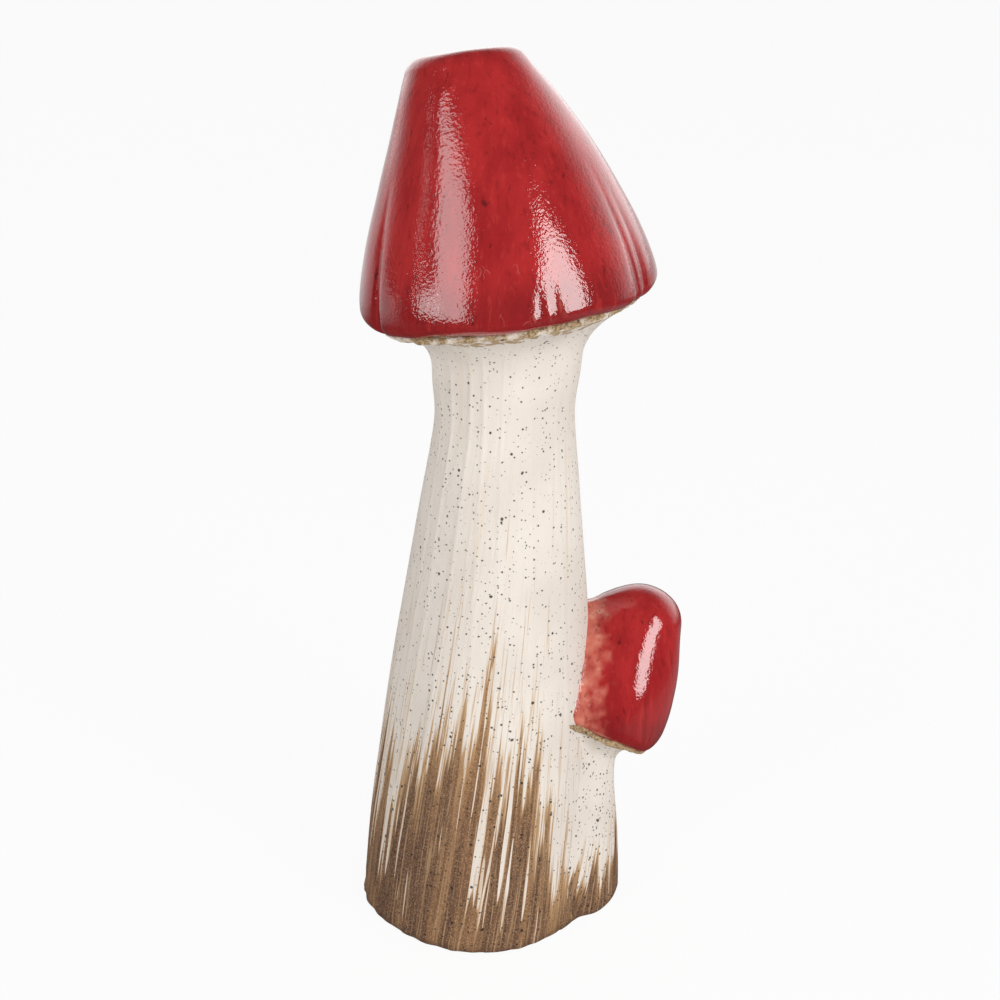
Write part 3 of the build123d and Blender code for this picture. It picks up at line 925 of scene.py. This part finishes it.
def wash_depth(shader, height, share, noises, strokes, ragged):
    """How far below the frayed tip of its stroke a place lies."""
    tip = shader.times(shader.ramp(share, stroke_stops(strokes)), STROKE_SCALE)
    for name, reach in STROKE_FRAY.items():
        tip = shader.line(shader.swing(noises[name]), reach * ragged, tip)
    return shader.math("SUBTRACT", tip, height)


def wash_gaps(shader, height, share, depth, noises):
    """1 where the bristles left the slip bare, in slits and scratches."""
    cover = shader.gain(shader.ramp(share, WASH_COVER), depth, *DEEP_COVER)
    cover = shader.gain(cover, height, *FOOT_COVER)
    slit = shader.line(shader.swing(noises["hair"]), SLIT_FRAY, noises["slit"])
    bare = shader.between(shader.math("SUBTRACT", slit, cover), *SLIT_EDGE)
    return shader.math("MAXIMUM", bare, shader.between(noises["scratch"], *SCRATCH_EDGE))


def wash_strength(shader, depth, gaps, noises, ragged):
    """Strength of the wash: dry strokes with their gaps, and the thin wash beyond their tips."""
    low, high = STROKE_EDGE
    stroke = shader.between(depth, low * ragged, high * ragged)
    dry = shader.gain(1.0, noises["hair"], *DRY_HAIR)
    dry = shader.line(shader.swing(noises["grit"]), DRY_GRIT, dry)
    wash = shader.times(shader.times(stroke, dry), shader.math("SUBTRACT", 1.0, gaps))
    for name, limits, (low, high), strength in WASH_BEYOND:
        around = shader.between(depth, low * ragged, high * ragged)
        thin = shader.times(shader.between(noises[name], *limits), around)
        wash = shader.math("MAXIMUM", wash, shader.times(thin, strength))
    return wash


def wash_brown(shader, height, depth, noises, ragged):
    """Colour of the full wash, lighter at its tips and darker at the foot."""
    brown = shader.shades(noises["tone"], *BROWNS)
    brown = shader.mark(brown, depth, (TIP_REACH * ragged, 0.0), *TIP_BROWN)
    for name, *tint in BROWN_MARKS:
        brown = shader.mark(brown, noises[name], *tint)
    return shader.mark(brown, height, *FOOT_BROWN)


def neck_smear(shader, spot, noises):
    """Noise of the clay that is smeared over the slip under the main cap."""
    rise = shader.vector("DOT_PRODUCT", spot, tuple(mouth_plane.up), output="Value")
    rise = shader.math("SUBTRACT", rise, mouth_plane.origin @ mouth_plane.up)
    return shader.times(shader.between(rise, *NECK_SMEAR_RISE), noises["smear"])


def iron_specks(shader, spot, pepper):
    """1 on the fine and the coarse specks of the clay."""
    cell, least, most = FINE_DOTS
    fine = specks(shader, spot, cell, pepper + least, pepper + most)
    cell, least, most = COARSE_DOTS
    return shader.math("MAXIMUM", fine, specks(shader, spot, cell, pepper + least, most))


def tool_marks(shader, noises):
    """Normal of the slip, with fine lines drawn up the stem by a tool."""
    off_line = shader.math("ABSOLUTE", shader.swing(noises["broad"]))
    grit = shader.line(noises["fine"], TOOL_STREAK, noises["grit"])
    return shader.bumped(shader.gain(grit, off_line, *TOOL_LINE), *SLIP_BUMP)


def slip_material(name, foot, lean, girth, strokes, ragged=1.0, pepper=0.0):
    """Matt off-white slip with iron specks, tool marks and a dry-brushed brown wash at the foot."""
    shader = Shader(bpy.data.materials.new(name))
    spot = millimetres(shader)
    height, share, streak = brush_coordinates(shader, spot, foot, lean, girth)
    noises = slip_noises(shader, spot, streak)
    depth = wash_depth(shader, height, share, noises, strokes, ragged)
    gaps = wash_gaps(shader, height, share, depth, noises)
    wash = wash_strength(shader, depth, gaps, noises, ragged)
    body = shader.mark(shader.shades(noises["cloud"], *SLIP_WHITES), noises["slit"], *SLIP_STREAK)
    body = shader.mix(shader.between(wash, *BUFF_WASH), body, shader.shades(noises["broad"], *BUFFS))
    brown = wash_brown(shader, height, depth, noises, ragged)
    body = shader.mix(shader.between(wash, *BROWN_WASH), body, brown)
    body = shader.mark(body, neck_smear(shader, spot, noises), *NECK_SMEAR)
    body = shader.tint(body, iron_specks(shader, spot, pepper), *SPECK_TINT)
    return shader.finish(body, shader.line(wash, WASH_ROUGHER, SLIP_ROUGHNESS), tool_marks(shader, noises))


def thinned(shader, body, spot, patch):
    """Red glaze with paler patches and worn spots where it is thin."""
    thin = shader.add("Attribute", attribute_name="thin", output=2)
    pale = shader.between(shader.line(shader.swing(patch), THIN_SWAY, thin), *THIN_LIMITS)
    body = shader.tint(body, shader.times(pale, shader.between(thin, *THIN_EDGE)), *THIN_TINT)
    worn = shader.between(shader.noise(spot, *WORN_PATCH), *WORN_LIMITS)
    return shader.tint(body, shader.times(worn, thin), *WORN_TINT)


def crazing(shader, spot, patch):
    """1 on the fine cracks at the front of the main cap."""
    place = shader.stirred(shader.vector("MULTIPLY", spot, CRAZE_STRETCH), spot, *CRAZE_STIR)
    cracks = shader.add("TexVoronoi", {"Vector": place, "Scale": CRAZE_SCALE}, feature="DISTANCE_TO_EDGE")
    middle = rim_plane.origin + rim_plane.up * CRAZE_RISE - rim_plane.back * CAP_RIM_RADIUS
    away = shader.vector("DISTANCE", spot, tuple(middle), output="Value")
    craze = shader.times(shader.between(cracks, *CRAZE_LINE), shader.between(away, *CRAZE_REACH))
    return shader.times(craze, shader.between(patch, *CRAZE_PATCH))


def glaze_material():
    """Glossy red glaze with a fine ripple and dark smudges, paler where thin, and darkened low on the caps as
    painted shade.
    """
    shader = Shader(bpy.data.materials.new("red_glaze"))
    spot = millimetres(shader)
    patch = shader.noise(spot, *THIN_PATCH)
    body = shader.shades(shader.noise(spot, *GLAZE_CLOUD), *GLAZE_REDS)
    # painted shade: the glaze colour is darkened low on each cap
    painted_shade = shader.add("Attribute", attribute_name="painted_shade", output=2)
    body = thinned(shader, shader.tint(body, painted_shade, *PAINTED_SHADE_TINT), spot, patch)
    for texture, *tint in GLAZE_MARKS:
        body = shader.mark(body, shader.noise(spot, *texture), *tint)
    body = shader.tint(body, crazing(shader, spot, patch), *CRAZE_TINT)
    peel = shader.line(shader.noise(spot, *FINE_PEEL), FINE_PEEL_SHARE, shader.noise(spot, *COARSE_PEEL))
    return shader.finish(body, GLAZE_ROUGHNESS, shader.bumped(peel, *GLAZE_BUMP), IOR=GLAZE_IOR)


def luting_material(name, bare):
    """Rough khaki clay, smeared over with white slip to the share that isn't bare."""
    shader = Shader(bpy.data.materials.new(name))
    spot = millimetres(shader)
    grit = shader.noise(spot, *LUTING_GRIT)
    limits = [bare + edge for edge in LUTING_EDGE]
    body = shader.shades(grit, *KHAKIS)
    body = shader.mark(body, shader.noise(spot, *LUTING_SMEAR), limits, *LUTING_WHITE)
    body = shader.tint(body, specks(shader, spot, *LUTING_DOTS), *LUTING_SPECK)
    return shader.finish(body, LUTING_ROUGHNESS, shader.bumped(grit, *LUTING_BUMP))


def dress(piece, material, slot, *nodes):
    """Gives a piece its finish and puts it in the place of its solids."""
    piece.data.materials.append(material)
    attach(piece, "root")
    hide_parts(*nodes)


def dress_pieces():
    """All skins with their finishes; the floor disc shows its own solid."""
    stem_lean = STEM_LEAN / STEM_HEIGHT
    slip = slip_material("speckled_slip", 0.0, stem_lean, FOOT_RADIUS, STROKES)
    side_lean = (SIDE_FLARE_X - SIDE_FOOT_X) / SIDE_FLARE_Z
    side_place = (SIDE_FOOT_X, side_lean, SIDE_FOOT_RADIUS)
    side_slip = slip_material("speckled_side_slip", *side_place, SIDE_STROKES, SIDE_RAGGED, SIDE_PEPPER)
    glaze = glaze_material()
    dress(build_main_stem(), slip, "speckled_slip", "main_stem")
    dress(build_main_cap(), glaze, "red_glaze", "main_cap")
    smeared = luting_material("smeared_luting", SMEARED)
    dress(build_main_seam(), smeared, "luting_clay", "main_cap_seam")
    dress(build_side_stem(), side_slip, "speckled_slip", "side_stem", "side_stem_seam")
    dress(build_side_cap(), glaze, "red_glaze", "side_cap")
    bare = luting_material("bare_luting", BARE)
    dress(build_side_seam(), bare, "luting_clay", "side_cap_seam")
    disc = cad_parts["floor_disc"]
    disc.data.materials.clear()
    disc.data.materials.append(slip)


# Camera, lamps and room. As the object sees it a lamp has an azimuth (0 in front, to the right), elevation,
# width and height in degrees, and then its radiance and shape.
CAMERA_PLACE = (9.0, -485.2, 340.1)
CAMERA_PITCH = 21.6
CAMERA_LENS = 57.6
CAMERA_SENSOR = 36.0
CAMERA_NEAR = 0.01
TARGET = Vector((8.0, 0.0, 200.0))
LAMP_DISTANCE = 1500.0
LAMPS = (
    ("left_softbox", -46, 16.5, 27, 36, 3.9, "RECTANGLE"),
    ("low_reflector", -65, 4.5, 17.5, 11, 4.2, "ELLIPSE"),
    ("left_strip", -77, 17, 0.5, 24, 12.0, "ELLIPSE"),
    ("right_softbox", 44, 15, 25.5, 40, 7.8, "ELLIPSE"),
)

# Floor, in metres: pale, dim in the gloss, and white again in the gloss far behind the object and a little
# just right of it; to the camera it is almost white, so that only the object's shadow shows
FLOOR_SIZE = 40.0
FLOOR_PALE = (0.9, 0.9, 0.9, 1.0)
FLOOR_DIM = (0.12, 0.12, 0.12, 1.0)
FLOOR_FAR = (0.3, 1.2)
FLOOR_BEHIND = (-0.2, 0.5)
FLOOR_NEAR = (0.42, 0.26)
FLOOR_RIGHT = (0.08, 0.18)
FLOOR_NEAR_SHARE = 0.25
FLOOR_GLOSS_SHARE = 0.85
FLOOR_WHITE_SHARE = 0.93

# World: a fill light that rises along X, Y and Z, and in the gloss a white wall behind the object
WORLD_FILL = 0.32
WORLD_SLOPE = (0.5, 0.5, 0.3)
WORLD_SEEN = 0.98
WALL_TURN = 0.2
WALL_BEHIND = (0.05, 0.85)
WALL_TOP = (0.85, 0.3)
WALL_LIGHT = 1.68
WALL_SLOPE = 0.32
ROOM_LIGHT = 0.12


def build_camera():
    """Camera at the photograph's viewing angle."""
    camera = bpy.data.cameras.new("camera")
    camera.lens = CAMERA_LENS
    camera.sensor_width = CAMERA_SENSOR
    camera.clip_start = CAMERA_NEAR
    holder = placed("camera", camera)
    holder.location = Vector(CAMERA_PLACE) * MM
    holder.rotation_euler = (radians(90 - CAMERA_PITCH), 0, 0)
    bpy.context.scene.camera = holder


def build_lamp(name, azimuth, elevation, width, height, radiance, shape):
    """Softbox of a size and at a place as the object sees them."""
    lamp = bpy.data.lights.new(name, "AREA")
    lamp.shape = shape
    lamp.size = 2 * LAMP_DISTANCE * MM * tan(radians(width / 2))
    lamp.size_y = 2 * LAMP_DISTANCE * MM * tan(radians(height / 2))
    filled = 1.0 if shape == "RECTANGLE" else pi / 4
    lamp.energy = radiance * pi * lamp.size * lamp.size_y * filled
    turn = radians(azimuth)
    rise = radians(elevation)
    away = Vector((sin(turn) * cos(rise), -cos(turn) * cos(rise), sin(rise)))
    holder = placed(name, lamp)
    holder.location = (TARGET + away * LAMP_DISTANCE) * MM
    holder.rotation_euler = away.to_track_quat("Z", "Y").to_euler()


def mirrored_floor(shader):
    """How white the floor is in the gloss, by place."""
    spot = shader.add("TexCoord", output=3)
    away = shader.vector("LENGTH", spot, output="Value")
    sides = shader.add("SeparateXYZ", {0: spot}).node
    behind = shader.between(sides.outputs[1], *FLOOR_BEHIND)
    far = shader.times(shader.between(away, *FLOOR_FAR), behind)
    right = shader.between(sides.outputs[0], *FLOOR_RIGHT)
    near = shader.times(shader.between(away, *FLOOR_NEAR), right)
    return shader.line(near, FLOOR_NEAR_SHARE, far)


def build_floor():
    """Pale floor that keeps the shadow of the object."""
    shader = Shader(bpy.data.materials.new("floor"))
    path = shader.add("LightPath").node
    glossy = path.outputs["Is Glossy Ray"]
    pale = shader.add("BsdfDiffuse", {"Color": shader.mix(glossy, FLOOR_PALE, FLOOR_DIM)})
    white = shader.add("Emission", {"Color": WHITE, "Strength": 1.0})
    mirrored = shader.times(glossy, mirrored_floor(shader))
    mirrored = shader.times(mirrored, FLOOR_GLOSS_SHARE)
    seen = shader.math("MAXIMUM", path.outputs["Is Camera Ray"], mirrored)
    share = shader.times(seen, FLOOR_WHITE_SHARE)
    shader.add("OutputMaterial", {"Surface": shader.add("MixShader", {0: share, 1: pale, 2: white})})
    bpy.ops.mesh.primitive_plane_add(size=FLOOR_SIZE)
    floor = bpy.context.object
    floor.name = "floor"
    floor.data.materials.append(shader.owner)


def build_world():
    """White room to the camera, a fill light, and a wall in the gloss that fades out overhead."""
    world = bpy.data.worlds.new("studio")
    bpy.context.scene.world = world
    shader = Shader(world)
    path = shader.add("LightPath").node
    sides = shader.add("SeparateXYZ", {0: shader.add("TexCoord")}).node
    behind = shader.line(sides.outputs[0], WALL_TURN, sides.outputs[1])
    top = shader.between(sides.outputs[2], *WALL_TOP)
    wall = shader.times(shader.between(behind, *WALL_BEHIND), top)
    light = shader.line(sides.outputs[0], WALL_SLOPE, WALL_LIGHT)
    room = shader.line(wall, light, ROOM_LIGHT)
    slope = 1.0
    for side, rise in zip(sides.outputs, WORLD_SLOPE):
        slope = shader.line(side, rise, slope)
    fill = shader.times(slope, WORLD_FILL)
    strength = shader.add("Mix", {0: path.outputs["Is Glossy Ray"], 2: fill, 3: room})
    strength = shader.add("Mix", {0: path.outputs["Is Camera Ray"], 2: strength, 3: WORLD_SEEN})
    back = shader.add("Background", {"Color": WHITE, "Strength": strength})
    shader.add("OutputWorld", {"Surface": back})


dress_pieces()
build_camera()
for lamp_values in LAMPS:
    build_lamp(*lamp_values)
build_floor()
build_world()
bpy.context.scene.view_settings.view_transform = "Standard"
